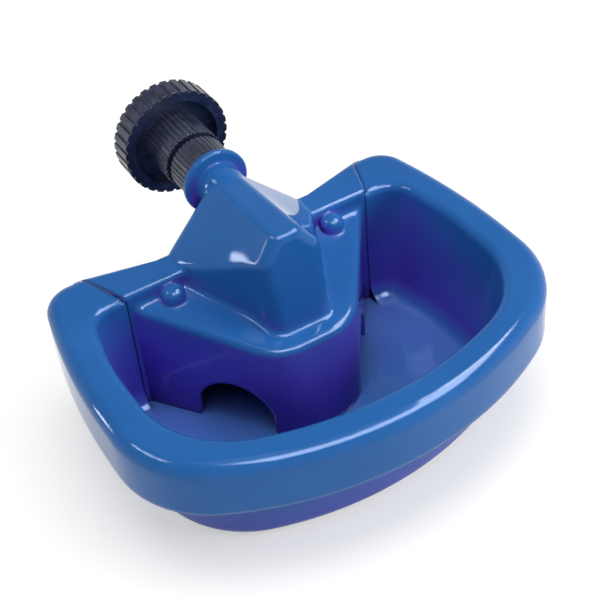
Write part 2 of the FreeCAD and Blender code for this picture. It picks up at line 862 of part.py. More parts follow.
def make_cover():
    outside = combine("MultiFuse", "cover_outside", lower_form("cover_lower", zero), [
        hump_form("hump", zero),
        wing_plate(),
        wing_skirt(),
        neck(),
    ])
    wall = size("cover_wall")
    under_wings = prism("under_wings", mirrored([
        (size("wing_root_half"), wing_root_back - wall),
        (size("hump_half"), size("bowl_back") + wall),
    ]), rim_under, wing_under - rim_under)
    inside = combine("MultiFuse", "cover_inside", lower_form("cover_lower_inside", wall), [
        hump_form("hump_inside", wall),
        under_wings,
        arch_form("right_arch", one),
        arch_form("left_arch", -one),
    ])
    shell = combine("Cut", "cover_shell", cover_skin(outside), inside)
    cover = new_body("cover", combine("MultiFuse", "bossed_cover", shell, [
        screw_boss("boss_" + name, x) for name, x in screw_places()]))

    boss = new_sketch(cover, "valve_boss", "XZ_Plane", -size("valve_shoulder"))
    draw_circle(boss, (zero, size("axis_height")), size("valve_boss_radius"))
    pad(cover, boss, size("valve_shoulder") - size("valve_boss_front"))

    lugs = new_sketch(cover, "lever_lugs", "XY_Plane", size("pivot_height") - size("hub_radius"))
    lug = [
        (size("lug_gap_half"), size("valve_shoulder") - size("cover_wall") / 2),
        (size("lug_gap_half") + size("lug_thickness"), size("valve_shoulder") - size("cover_wall") / 2),
        (size("lug_gap_half") + size("lug_thickness"), size("pivot_back") - size("hub_radius")),
        (size("lug_gap_half"), size("pivot_back") - size("hub_radius")),
    ]
    draw_outline(lugs, lug)
    draw_outline(lugs, flipped(lug))
    lug_top = size("ridge_back_height") - size("lug_set_in")
    pad(cover, lugs, lug_top - size("pivot_height") + size("hub_radius"))

    pilots = new_sketch(cover, "screw_pilots", "XY_Plane", size("post_top"))
    for name, x in screw_places():
        draw_circle(pilots, (x, size("screw_back")), size("screw_radius"))
    pocket(cover, pilots, size("boss_top") - size("boss_skin") - size("post_top"), reverse=True)

    bore = new_sketch(cover, "shank_thread", "XZ_Plane", -size("flange_back"))
    draw_circle(bore, (zero, size("axis_height")), size("shank_radius") + size("fit_clearance"))
    pocket(cover, bore, size("flange_back") - size("valve_shoulder"), reverse=True)
    seat = new_sketch(cover, "nozzle_bore", "XZ_Plane", -size("valve_shoulder"))
    draw_circle(seat, (zero, size("axis_height")), size("nozzle_radius") + size("fit_clearance"))
    pocket(cover, seat, size("valve_shoulder") - size("valve_boss_front"), reverse=True)

    hinge = new_sketch(cover, "pin_hole", "YZ_Plane")
    draw_circle(hinge, (size("pivot_back"), size("pivot_height")), size("pin_radius"))
    pocket(cover, hinge, (size("lug_gap_half") + size("lug_thickness")) * 2, midway=True)
    return cover


# Cover screws, from below through the posts

def make_cover_screws():
    screws = []
    seat = size("screw_seat") - size("screw_washer_thickness")
    tip = size("boss_top") - size("boss_skin") - size("screw_hole_clearance")
    for name, x in screw_places():
        screw = turned("cover_screw_" + name, [
            (seat - size("screw_head_height"), zero),
            (seat - size("screw_head_height"), size("screw_head_radius")),
            (seat, size("screw_head_radius")),
            (seat, size("screw_radius")),
            (tip - size("screw_tip"), size("screw_radius")),
            (tip, zero),
        ], upright=True)
        set_place(screw, x, size("screw_back"))
        washer = turned("screw_washer_" + name, ring_steps(
            seat, size("screw_seat"), size("screw_radius") + size("fit_clearance"),
            size("screw_recess_radius") - size("screw_hole_clearance")), upright=True)
        set_place(washer, x, size("screw_back"))
        screws += [screw, washer]
    return screws


# Inlet line

seal_front = size("valve_shoulder") + size("seal_thickness")
shank_front = seal_front + size("seal_thickness")
front_nut_back = size("flange_back") + size("front_nut_length")
rear_nut_front = front_nut_back + size("nut_gap")
plate_front = rear_nut_front + size("rear_nut_length")
plate_back = plate_front + size("cap_plate")
head_front = plate_back + size("seal_thickness")
head_back = head_front + size("shank_head_thickness")
cap_front = plate_front - size("cap_recess_depth")
cap_back = cap_front + size("cap_length")


def make_nozzle():
    """Brass nozzle: flange on the shoulder of the neck, stem through the boss, raised seat."""
    orifice_back = size("nozzle_seat") + size("nozzle_orifice_length")
    return on_inlet_axis(turned("valve_nozzle", [
        (size("nozzle_seat"), size("nozzle_orifice")),
        (size("nozzle_seat"), size("nozzle_seat_radius")),
        (size("nozzle_seat") + size("nozzle_taper"), size("nozzle_radius")),
        (size("valve_shoulder"), size("nozzle_radius")),
        (size("valve_shoulder"), size("nozzle_flange_radius")),
        (seal_front, size("nozzle_flange_radius")),
        (seal_front, size("nozzle_bore")),
        (orifice_back, size("nozzle_bore")),
        (orifice_back, size("nozzle_orifice")),
    ]))


def make_inlet_seal():
    return on_inlet_axis(turned("inlet_seal", ring_steps(
        seal_front, shank_front, size("shank_bore"), size("nozzle_flange_radius"))))


def make_shank():
    return on_inlet_axis(turned("inlet_shank", [
        (shank_front, size("shank_bore")),
        (shank_front, size("shank_radius")),
        (head_front, size("shank_radius")),
        (head_front, size("shank_head_radius")),
        (head_back, size("shank_head_radius")),
        (head_back, size("shank_bore")),
    ]))


def grooved_ring(label, steps, radius, groove, count, front, length):
    """A turned piece whose rim is cut into ribs by round grooves along the axis."""
    body = turned(label, steps)
    sketch = new_sketch(body, label + "_groove", "XZ_Plane", -front)
    draw_circle(sketch, (radius, zero), groove)
    cut_one = pocket(body, sketch, length)
    repeat_round(body, cut_one, label + "_ribs", "Y_Axis", count)
    return on_inlet_axis(body)


def make_nut(label, front, back, radius):
    bore = size("shank_radius") + size("fit_clearance")
    return grooved_ring(label, ring_steps(front, back, bore, radius), radius,
                        size("nut_groove_radius"), size("nut_rib_count"), front, back - front)


def make_cap():
    hole = size("shank_radius") + size("fit_clearance")
    return grooved_ring("container_cap", [
        (cap_front, size("cap_recess_radius")),
        (cap_front, size("cap_radius")),
        (cap_back, size("cap_radius")),
        (cap_back, size("cap_thread_radius")),
        (plate_back, size("cap_thread_radius")),
        (plate_back, hole),
        (plate_front, hole),
        (plate_front, size("cap_recess_radius")),
    ], size("cap_radius"), size("cap_groove_radius"), size("cap_flute_count"), cap_front,
        size("cap_length"))


def make_cap_seals():
    outer = size("cap_thread_radius") - size("seal_inset")
    gasket = turned("cap_gasket", ring_steps(
        plate_back, plate_back + size("seal_thickness"), outer - size("gasket_width"), outer))
    washer = turned("shank_seal", ring_steps(
        plate_back, head_front, size("shank_radius") + size("fit_clearance"),
        size("shank_head_radius") - size("seal_inset")))
    return [on_inlet_axis(gasket), on_inlet_axis(washer)]


def make_strainer():
    """Thimble strainer that hangs in the bore of the shank from its own flange."""
    skin = size("shank_bore") - size("fit_clearance")
    inner = skin - size("strainer_wall")
    tip = head_back - size("strainer_length")
    return on_inlet_axis(turned("inlet_strainer", [
        (tip, zero),
        (tip, skin),
        (head_back, skin),
        (head_back, size("strainer_flange_radius")),
        (head_back + size("strainer_wall"), size("strainer_flange_radius")),
        (head_back + size("strainer_wall"), inner),
        (tip + size("strainer_wall"), inner),
        (tip + size("strainer_wall"), zero),
    ]))


# Float valve. Its moving pieces are drawn about the hinge pin with the valve shut, and each
# is then turned open by the lever's travel, as the empty bowl leaves it.

def at_pivot(depth, height):
    return (depth - size("pivot_back"), height - size("pivot_height"))


def swing_open(body):
    set_turn(body, FreeCAD.Vector(1, 0, 0), size("lever_opening").number, "Sizes.lever_opening * 1 deg")
    set_place(body, zero, size("pivot_back"), size("pivot_height"))
    return body


seat_side = size("nozzle_seat") - size("pad_gap") - size("pivot_back")
arm_back = seat_side - size("pad_thickness") + size("pad_recess")
pad_height = size("axis_height") - size("pivot_height")


def make_lever():
    body = new_body("float_lever")
    arm_front = arm_back - size("lever_arm_thickness")
    foot_back, foot_bottom = at_pivot(size("foot_back"), size("float_top"))
    foot_front = size("foot_front") - size("pivot_back")
    foot_top = foot_bottom + size("foot_thickness")
    knee = -size("hub_radius") / 2
    side_view = new_sketch(body, "lever_side", "YZ_Plane")
    draw_outline(side_view, [
        (arm_front, size("lever_arm_rise")),
        (arm_back, size("lever_arm_rise")),
        (arm_back, knee),
        (foot_back, foot_bottom),
        (foot_front, foot_bottom),
        (foot_front, foot_top),
        (foot_back - size("lever_arm_thickness"), foot_top),
        (arm_front, knee),
    ])
    pad(body, side_view, size("lever_width"), midway=True)
    hub = new_sketch(body, "lever_hub", "YZ_Plane")
    draw_circle(hub, (zero, zero), size("hub_radius"))
    hub_width = (size("lug_gap_half") - size("hub_side_clearance")) * 2
    pad(body, hub, hub_width, midway=True)
    eye = new_sketch(body, "lever_eye", "YZ_Plane")
    draw_circle(eye, (zero, zero), size("pin_radius") + size("fit_clearance"))
    pocket(body, eye, hub_width, midway=True)
    recess = new_sketch(body, "pad_recess", "XZ_Plane", -arm_back)
    draw_circle(recess, (zero, pad_height), size("pad_radius") + size("fit_clearance"))
    pocket(body, recess, size("pad_recess"), reverse=True)
    hole = new_sketch(body, "foot_hole", "XY_Plane", foot_bottom)
    draw_circle(hole, (zero, size("float_screw_back") - size("pivot_back")),
                size("float_screw_radius") + size("fit_clearance"))
    pocket(body, hole, size("foot_thickness"), reverse=True)
    return swing_open(body)


def make_pad():
    body = new_body("valve_pad")
    face = new_sketch(body, "pad_face", "XZ_Plane", -seat_side)
    draw_circle(face, (zero, pad_height), size("pad_radius"))
    pad(body, face, size("pad_thickness"))
    return swing_open(body)


def make_float():
    body = new_body("float")
    back = size("float_back") - size("pivot_back")
    front = size("float_front") - size("pivot_back")
    top = size("float_top") - size("pivot_height")
    plan = new_sketch(body, "float_plan", "XY_Plane", top - size("float_height"))
    draw_outline(plan, mirrored([(size("float_back_half"), back), (size("float_front_half"), front)]))
    pad(body, plan, size("float_height"))
    round_edges(body, "float_rounding", size("float_rounding"), lambda edge: True)
    hole = new_sketch(body, "float_hole", "XY_Plane", top)
    draw_circle(hole, (zero, size("float_screw_back") - size("pivot_back")), size("float_screw_radius"))
    pocket(body, hole, size("float_screw_depth"))
    return swing_open(body)


def make_float_screw():
    body = new_body("float_screw")
    top = size("float_top") - size("pivot_height")
    seat = top + size("foot_thickness")
    centre = (zero, size("float_screw_back") - size("pivot_back"))
    head = new_sketch(body, "float_screw_head", "XY_Plane", seat)
    draw_circle(head, centre, size("float_screw_head_radius"))
    pad(body, head, size("float_screw_head_height"))
    stem = new_sketch(body, "float_screw_stem", "XY_Plane", seat)
    draw_circle(stem, centre, size("float_screw_radius"))
    pad(body, stem, size("foot_thickness") + size("float_screw_depth") - size("screw_tip"), reverse=True)
    return swing_open(body)


def make_pin():
    body = new_body("lever_pin")
    section = new_sketch(body, "pin_section", "YZ_Plane")
    draw_circle(section, (size("pivot_back"), size("pivot_height")), size("pin_radius"))
    pad(body, section, (size("lug_gap_half") + size("lug_thickness")) * 2, midway=True)
    return body


# Every sub-part is checked and then written under its own name

parts = [make_bowl(), make_cover()]
parts += make_cover_screws()
parts += [
    make_nozzle(),
    make_inlet_seal(),
    make_shank(),
    make_nut("front_lock_nut", size("flange_back"), front_nut_back, size("front_nut_radius")),
    make_nut("rear_lock_nut", rear_nut_front, plate_front, size("rear_nut_radius")),
    make_cap(),
]
parts += make_cap_seals()
parts += [make_strainer(), make_lever(), make_pad(), make_float(), make_float_screw(), make_pin()]
doc.recompute()

for item in doc.Objects:
    if "Invalid" in item.State or "Error" in item.State:
        raise ValueError("failed: %s %s" % (item.Label, item.State))

os.makedirs("parts", exist_ok=True)
for part in parts:
    shape = part.Shape
    if shape.isNull() or not shape.isValid() or len(shape.Solids) != 1:
        raise ValueError("bad shape: %s, solids %d" % (part.Label, len(shape.Solids)))
    shape.exportStep("parts/%s.step" % part.Label)
    box = shape.BoundBox
    print("%-20s %9.1f mm3  x %6.1f %6.1f  y %6.1f %6.1f  z %6.1f %6.1f" % (
        part.Label, shape.Volume, box.XMin, box.XMax, box.YMin, box.YMax, box.ZMin, box.ZMax))
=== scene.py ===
import json
import math

import bmesh
import bpy
import numpy as np
from mathutils import Matrix, Vector


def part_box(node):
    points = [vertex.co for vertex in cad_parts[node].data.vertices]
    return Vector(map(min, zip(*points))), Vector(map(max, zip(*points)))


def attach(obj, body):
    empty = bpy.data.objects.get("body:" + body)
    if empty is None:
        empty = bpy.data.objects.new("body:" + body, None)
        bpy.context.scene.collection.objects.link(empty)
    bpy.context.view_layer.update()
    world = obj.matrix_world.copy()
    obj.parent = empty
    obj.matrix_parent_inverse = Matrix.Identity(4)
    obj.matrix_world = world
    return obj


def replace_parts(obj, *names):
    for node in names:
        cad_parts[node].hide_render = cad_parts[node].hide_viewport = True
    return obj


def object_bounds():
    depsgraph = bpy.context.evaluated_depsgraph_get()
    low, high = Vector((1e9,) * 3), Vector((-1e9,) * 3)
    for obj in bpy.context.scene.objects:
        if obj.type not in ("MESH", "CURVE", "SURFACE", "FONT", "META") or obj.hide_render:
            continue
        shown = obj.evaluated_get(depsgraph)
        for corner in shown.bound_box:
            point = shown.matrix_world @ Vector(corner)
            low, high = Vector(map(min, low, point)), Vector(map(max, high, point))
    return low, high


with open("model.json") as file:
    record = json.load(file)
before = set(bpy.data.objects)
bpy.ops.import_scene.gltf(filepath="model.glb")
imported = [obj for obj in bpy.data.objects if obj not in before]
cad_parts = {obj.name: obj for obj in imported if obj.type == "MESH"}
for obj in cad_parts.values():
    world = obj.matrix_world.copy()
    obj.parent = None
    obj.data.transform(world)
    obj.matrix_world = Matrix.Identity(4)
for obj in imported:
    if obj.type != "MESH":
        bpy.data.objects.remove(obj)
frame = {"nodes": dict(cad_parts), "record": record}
cadBox = [list(corner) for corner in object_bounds()]
nodes = frame["nodes"]
print("frame loaded:", len(nodes), "nodes")


# Shared helpers

def linear(hexText):
    # each sRGB channel c above 0.04045 becomes ((c + 0.055) / 1.055) ** 2.4
    channels = [int(hexText[i:i + 2], 16) / 255 for i in (1, 3, 5)]
    return [c / 12.92 if c <= 0.04045 else ((c + 0.055) / 1.055) ** 2.4 for c in channels] + [1.0]


def add(tree, kind, values=None, links=None, **settings):
    # one node, with its settings, its socket values and what feeds it
    node = tree.nodes.new("ShaderNode" + kind)
    for name, value in settings.items():
        setattr(node, name, value)
    for socket, value in (values or {}).items():
        node.inputs[socket].default_value = value
    for socket, source in (links or {}).items():
        tree.links.new(source, node.inputs[socket])
    return node


def emptyMaterial(name):
    # a material with no nodes yet, its tree, and the place of each point on the object
    material = bpy.data.materials.new(name)
    material.use_nodes = True
    tree = material.node_tree
    tree.nodes.clear()
    return material, tree, add(tree, "TexCoord").outputs["Object"]


def noiseOf(tree, place, millimetres, detail=2.0, roughness=0.5, stretch=(1, 1, 1), shift=(0, 0, 0)):
    # noise whose lumps are about the given size across on the real object
    mapped = add(tree, "Mapping", {"Scale": stretch, "Location": shift}, {"Vector": place})
    shape = {"Scale": 1000 / millimetres, "Detail": detail, "Roughness": roughness}
    return add(tree, "TexNoise", shape, {"Vector": mapped.outputs["Vector"]}).outputs["Fac"]


def spread(tree, source, fromLow, fromHigh, toLow, toHigh):
    # what lies between the first two numbers is laid evenly between the last two, and stops there
    ranges = {"From Min": fromLow, "From Max": fromHigh, "To Min": toLow, "To Max": toHigh}
    return add(tree, "MapRange", ranges, {"Value": source}).outputs["Result"]


def mixed(tree, factor, first, second):
    # colours are hex text or sockets
    values, links = {}, {0: factor}
    for socket, colour in ((6, first), (7, second)):
        if isinstance(colour, str):
            values[socket] = linear(colour)
        else:
            links[socket] = colour
    return add(tree, "Mix", values, links, data_type="RGBA").outputs[2]


def combined(tree, operation, first, second):
    # one calculation with two numbers or sockets
    values, links = {}, {}
    for socket, value in ((0, first), (1, second)):
        if isinstance(value, (int, float)):
            values[socket] = value
        else:
            links[socket] = value
    return add(tree, "Math", values, links, operation=operation).outputs[0]


def bumpOf(tree, height, millimetres, strength, normal=None):
    # the surface's direction, tilted as if the pattern stood up by the given height
    links = {"Height": height}
    if normal is not None:
        links["Normal"] = normal
    return add(tree, "Bump", {"Distance": millimetres / 1000, "Strength": strength}, links).outputs["Normal"]


def softEdges(tree, radius, samples):
    # the surface's direction, turned smoothly over an edge of the given radius in metres
    return add(tree, "Bevel", {"Radius": radius}, samples=samples).outputs["Normal"]


def finishOff(tree, colour, roughness, normal, values):
    # the shader itself, with what is the same all over set on its own sockets
    links = {"Base Color": colour, "Roughness": roughness, "Normal": normal}
    shader = add(tree, "BsdfPrincipled", values, links)
    add(tree, "OutputMaterial", links={"Surface": shader.outputs[0]})


# Materials: each one is named for what the real piece is made of and how. Sizes of patterns are in
# millimetres, gloss is the roughness from smooth to handled, and a bump is its depth in millimetres
# and its strength.

bluePlastic = {
    "lit": "#235EA2",          # the moulding in plain light
    "pale": "#2864A9",         # where the pigment lies thinner
    "paintedWallShade": "#6048C8",         # painted shade: walls that close in on each other are painted indigo, for light that has gone from wall to wall
    "paintedBounceLight": "#5878C4",       # painted bounce light: level faces between walls are painted lighter, for what the walls pass on
    "paintedChamberShade": "#0E0430",       # painted shade: the closed chamber behind the arches, where little light gets in, is painted near black
    "sheen": "#C8DCFF",        # what it mirrors comes back a little blue
    "reach": 0.060,            # metres over which walls shade each other
    "close": (0.62, 0.22),     # openness at which the painted wall shade and painted bounce light start, and at which they are full
    "closed": (0.26, 0.08),    # the same for the painted shade of the chamber
    "swirl": 38,               # clouds in the dye
    "hand": 11,                # smears from handling
    "grain": 0.6,              # fine texture of the mould, drawn coarser than it is so that it shows
    "wave": 26,                # shrinkage of the moulding
    "waveBump": (0.6, 0.12),
    "grainBump": (0.02, 0.10),
    "scuffs": 170.0,           # cells of fine scratches per metre
    "scuffRough": 0.05,        # roughness added on a scratch
    "gloss": (0.04, 0.09),
    "mirror": 0.22,            # specular level, under the 0.5 of a lacquer
    "edge": 0.0020,            # metres, the soft radius of a moulded edge
}


def makeBluePlastic():
    # injection-moulded polypropylene: polished mould, richly and evenly dyed, soft waves where it shrank, with
    # painted shade on walls and painted bounce light on level faces where walls close in
    material, tree, place = emptyMaterial("MouldedPolypropyleneBlue")
    swirl = noiseOf(tree, place, bluePlastic["swirl"], 3, 0.55)
    hand = noiseOf(tree, place, bluePlastic["hand"], 4, 0.6, shift=(3, 1, 2))
    grain = noiseOf(tree, place, bluePlastic["grain"], 2)
    wave = noiseOf(tree, place, bluePlastic["wave"], 1, shift=(7, 2, 5))
    drawn = add(tree, "Mapping", {"Scale": (1, 6, 1), "Rotation": (0, 0, 0.6)}, {"Vector": place})
    scuff = add(tree, "TexVoronoi", {"Scale": bluePlastic["scuffs"], "Randomness": 1.0},
                {"Vector": drawn.outputs["Vector"]}, feature="DISTANCE_TO_EDGE").outputs["Distance"]

    # openness is 1 in the open and falls to 0 where walls close in; upright is 1 on a wall and 0.1 on a
    # level face, and flat is the other way round
    openness = add(tree, "AmbientOcclusion", {"Distance": bluePlastic["reach"]},
                   samples=16, only_local=False).outputs["AO"]
    closeness = spread(tree, openness, *bluePlastic["close"], 0, 1)
    facing = add(tree, "NewGeometry").outputs["Normal"]
    level = add(tree, "SeparateXYZ", links={"Vector": facing}).outputs["Z"]
    upright = spread(tree, combined(tree, "ABSOLUTE", level, 0), 0.2, 0.9, 1.0, 0.1)
    flat = spread(tree, upright, 0.4, 0.1, 0, 1)
    surface = mixed(tree, spread(tree, swirl, 0.35, 0.65, 0, 1), bluePlastic["lit"], bluePlastic["pale"])
    # painted shade: upright faces where walls close in are painted indigo
    withWallShade = mixed(tree, combined(tree, "MULTIPLY", closeness, upright), surface, bluePlastic["paintedWallShade"])
    # painted bounce light: level faces where walls close in are painted a lighter blue
    withBounceLight = mixed(tree, combined(tree, "MULTIPLY", closeness, flat), withWallShade, bluePlastic["paintedBounceLight"])
    # painted shade: the closed chamber, where openness is lowest, is painted near black
    colour = mixed(tree, spread(tree, openness, *bluePlastic["closed"], 0, 1), withBounceLight, bluePlastic["paintedChamberShade"])

    smear = spread(tree, hand, 0.4, 0.75, *bluePlastic["gloss"])
    line = spread(tree, scuff, 0.0, 0.03, bluePlastic["scuffRough"], 0.0)
    waved = bumpOf(tree, wave, *bluePlastic["waveBump"], softEdges(tree, bluePlastic["edge"], 8))
    grained = bumpOf(tree, grain, *bluePlastic["grainBump"], waved)
    finishOff(tree, colour, combined(tree, "ADD", smear, line), grained,
              {"IOR": 1.49, "Specular IOR Level": bluePlastic["mirror"],
               "Specular Tint": linear(bluePlastic["sheen"])})
    return material


blackPlastic = {
    "dark": "#151D38",
    "worn": "#262F50",         # handled ribs are a little greyer
    "hand": 6,
    "flow": 1.8,               # marks of the melt, four times as long along the inlet
    "grain": 0.35,
    "flowBump": (0.05, 0.25),
    "grainBump": (0.02, 0.3),
    "gloss": (0.26, 0.42),     # nuts and shank
    "satin": (0.18, 0.30),     # cap
    "edge": 0.0003,            # metres
}


def makeBlackPlastic(name, low, high):
    # moulded black polypropylene, with glass fibre in the nuts: matt to satin, with fine flow marks
    material, tree, place = emptyMaterial(name)
    hand = noiseOf(tree, place, blackPlastic["hand"], 4, 0.6)
    flow = noiseOf(tree, place, blackPlastic["flow"], 3, 0.6, stretch=(1, 0.25, 1))
    grain = noiseOf(tree, place, blackPlastic["grain"], 2)
    colour = mixed(tree, spread(tree, hand, 0.4, 0.75, 0, 1), blackPlastic["dark"], blackPlastic["worn"])
    flowed = bumpOf(tree, flow, *blackPlastic["flowBump"], softEdges(tree, blackPlastic["edge"], 4))
    grained = bumpOf(tree, grain, *blackPlastic["grainBump"], flowed)
    finishOff(tree, colour, spread(tree, hand, 0.3, 0.7, low, high), grained, {"IOR": 1.5})
    return material


rubberSheet = {
    "dark": "#1B1B1D",
    "bloom": "#3A3B3D",
    "cloud": 4,
    "grain": 0.25,
    "grainBump": (0.03, 0.4),
    "gloss": (0.62, 0.8),
}


def makeRubber():
    # moulded nitrile rubber: matt, with a grey bloom of powder in places
    material, tree, place = emptyMaterial("MouldedNitrileRubber")
    bloom = noiseOf(tree, place, rubberSheet["cloud"], 5, 0.65)
    grain = noiseOf(tree, place, rubberSheet["grain"], 2)
    colour = mixed(tree, spread(tree, bloom, 0.45, 0.75, 0, 0.6), rubberSheet["dark"], rubberSheet["bloom"])
    finishOff(tree, colour, spread(tree, bloom, 0.3, 0.7, *rubberSheet["gloss"]),
              bumpOf(tree, grain, *rubberSheet["grainBump"]), {"IOR": 1.52})
    return material


stainless = {
    "bright": "#B9BBBD",
    "dull": "#94979A",
    "lines": 0.35,             # tool marks, drawn out ten times along X
    "cloud": 3,
    "lineBump": (0.01, 0.25),
    "gloss": (0.2, 0.36),
}


def makeStainless():
    # cold-headed stainless steel: bright, with fine lines left by the tool
    material, tree, place = emptyMaterial("ColdHeadedStainlessSteel")
    lines = noiseOf(tree, place, stainless["lines"], 3, 0.6, stretch=(0.1, 1, 1))
    cloud = noiseOf(tree, place, stainless["cloud"], 3)
    colour = mixed(tree, spread(tree, cloud, 0.35, 0.7, 0, 1), stainless["bright"], stainless["dull"])
    finishOff(tree, colour, spread(tree, lines, 0.3, 0.7, *stainless["gloss"]),
              bumpOf(tree, lines, *stainless["lineBump"]), {"Metallic": 1.0})
    return material


turnedBrass = {
    "bright": "#C9A35A",
    "brown": "#8A6A34",
    "cloud": 3.5,
    "rings": 500.0,            # scale of the wave, for tool marks 0.6 mm apart along the inlet
    "ringBump": (0.02, 0.35),
    "gloss": (0.24, 0.42),
}


def makeBrass():
    # turned free-cutting brass: rings left by the lathe tool, browned a little by water
    material, tree, place = emptyMaterial("TurnedBrass")
    tarnish = noiseOf(tree, place, turnedBrass["cloud"], 4, 0.6)
    rings = add(tree, "TexWave", {"Scale": turnedBrass["rings"], "Distortion": 0.4, "Detail": 1.0},
                {"Vector": place}, wave_type="BANDS", bands_direction="Y").outputs["Fac"]
    colour = mixed(tree, spread(tree, tarnish, 0.45, 0.8, 0, 0.8), turnedBrass["bright"], turnedBrass["brown"])
    finishOff(tree, colour, spread(tree, tarnish, 0.3, 0.7, *turnedBrass["gloss"]),
              bumpOf(tree, rings, *turnedBrass["ringBump"]), {"Metallic": 1.0})
    return material


floatFoam = {
    "skin": "#D9DAD6",
    "cell": "#B4B6B2",
    "cells": 1.3,              # drawn coarser than the real 0.3 mm, so that they show
    "cloud": 7,
    "cellBump": (0.15, 0.35),
    "gloss": (0.55, 0.75),
}


def makeFoam():
    # moulded closed-cell foam: a pale skin with small cells showing through
    material, tree, place = emptyMaterial("MouldedClosedCellFoam")
    cells = add(tree, "TexVoronoi", {"Scale": 1000 / floatFoam["cells"]}, {"Vector": place}).outputs["Distance"]
    cloud = noiseOf(tree, place, floatFoam["cloud"], 3)
    colour = mixed(tree, spread(tree, cells, 0.1, 0.6, 1, 0), floatFoam["skin"], floatFoam["cell"])
    finishOff(tree, colour, spread(tree, cloud, 0.3, 0.7, *floatFoam["gloss"]),
              bumpOf(tree, cells, *floatFoam["cellBump"]), {"IOR": 1.45})
    return material


finishOfSlot = {
    "blue": makeBluePlastic(),
    "black": makeBlackPlastic("MouldedGlassFilledPolypropyleneBlack", *blackPlastic["gloss"]),
    "black_gloss": makeBlackPlastic("MouldedPolypropyleneBlackSatin", *blackPlastic["satin"]),
    "rubber": makeRubber(),
    "steel": makeStainless(),
    "brass": makeBrass(),
    "foam": makeFoam(),
}
for part in frame["record"]["subparts"]:
    # a CAD node keeps its shape and takes the finish of its slot in the record
    node = nodes[part["node"]]
    finish = finishOfSlot[part["material_slot"]]
    if not node.data.materials:
        node.data.materials.append(finish)
    for materialSlot in node.material_slots:
        materialSlot.material = finish


def makePiece(name, mesh, slot):
    # a new piece that rides on the cup and takes the finish of a slot
    piece = bpy.data.objects.new(name, mesh)
    bpy.context.scene.collection.objects.link(piece)
    mesh.materials.append(finishOfSlot[slot])
    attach(piece, "cup")
    return piece


# The cover: the solid's own surface, with the two wing ends rounded over as far as the rim beside them

wingEnd = {
    "beyond": 0.0569,          # metres out from the middle, where the rounded end of the back edge starts
    "behind": 0.0600,          # and how far back it starts
    "foot": 0.0540,            # height where the solid's small rounding starts
    "small": 0.0015,           # its rise
    "back": 0.0620,            # depth of the back face
    "top": 0.0542,             # height of the new edge, a little above the rim
    "round": 0.0050,           # its radius, as on the rim
    "slope": 0.362,            # sideways run of the seam for each step back
    "slack": 0.00002,          # metres by which a corner may miss the foot
}


def makeCover():
    # a corner of the small rounding at angle t goes to the same angle on the large one: it lies
    # round * (1 - cos t) in front of the back face and round * (1 - sin t) below the top
    solid = nodes["cover"].data
    spots = np.empty(len(solid.vertices) * 3)
    solid.vertices.foreach_get("co", spots)
    corners = np.empty(len(solid.loops), dtype=np.int64)
    solid.loops.foreach_get("vertex_index", corners)
    normals = np.empty(len(solid.loops) * 3)
    solid.corner_normals.foreach_get("vector", normals)

    # corners at one place become one, and a triangle that loses a side that way is left out
    points, which = np.unique(np.round(spots.reshape(-1, 3), 7), axis=0, return_inverse=True)
    faces = which.reshape(-1)[corners].reshape(-1, 3)
    whole = (faces[:, 0] != faces[:, 1]) & (faces[:, 1] != faces[:, 2]) & (faces[:, 2] != faces[:, 0])

    x, y, z = points.T.copy()
    ends = (np.abs(x) > wingEnd["beyond"]) & (z > wingEnd["foot"] - wingEnd["slack"]) & (y > wingEnd["behind"])
    angle = np.arcsin(np.clip((z - wingEnd["foot"]) / wingEnd["small"], 0, 1))
    newY = wingEnd["back"] - wingEnd["round"] * (1 - np.cos(angle))
    newZ = wingEnd["top"] - wingEnd["round"] * (1 - np.sin(angle))
    newX = x - np.sign(x) * wingEnd["slope"] * (y - newY)
    points[ends] = np.stack([newX, newY, newZ], axis=-1)[ends]

    mesh = bpy.data.meshes.new("coverMoulding")
    mesh.from_pydata(points.tolist(), [], faces[whole].tolist())
    mesh.shade_smooth()
    mesh.normals_split_custom_set(normals.reshape(-1, 3, 3)[whole].reshape(-1, 3).tolist())
    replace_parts(makePiece("coverMoulding", mesh, "blue"), "cover")
    print("cover made,", int(ends.sum()), "corners moved")


makeCover()


# Threads, too fine for the solids

axisHeight = sum(corner[2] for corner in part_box("front_lock_nut")) / 2
capThread = {
    "wall": 0.0174,            # radius of the bore that the ridge stands on, metres
    "height": -0.0009,         # towards the axis
    "pitch": 0.0026,
    "base": 0.0015,            # width at the wall
    "crest": 0.0004,
    "start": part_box("container_cap")[1][1] - 0.0046,
    "end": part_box("container_cap")[1][1] - 0.0003,
}
shankThread = {
    "wall": 0.0060,
    "height": 0.0004,          # away from the axis
    "pitch": 0.0010,
    "base": 0.0008,
    "crest": 0.0001,
    "start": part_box("front_lock_nut")[1][1] + 0.0001,
    "end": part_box("rear_lock_nut")[0][1] - 0.0001,
}
helix = {
    "steps": 160,
    "sunk": 0.2,               # share of the height that the foot lies under the wall
    "runOut": math.pi / 3,     # angle over which an end falls away
    "tip": 0.01,               # share of the height that is left at the very end
}


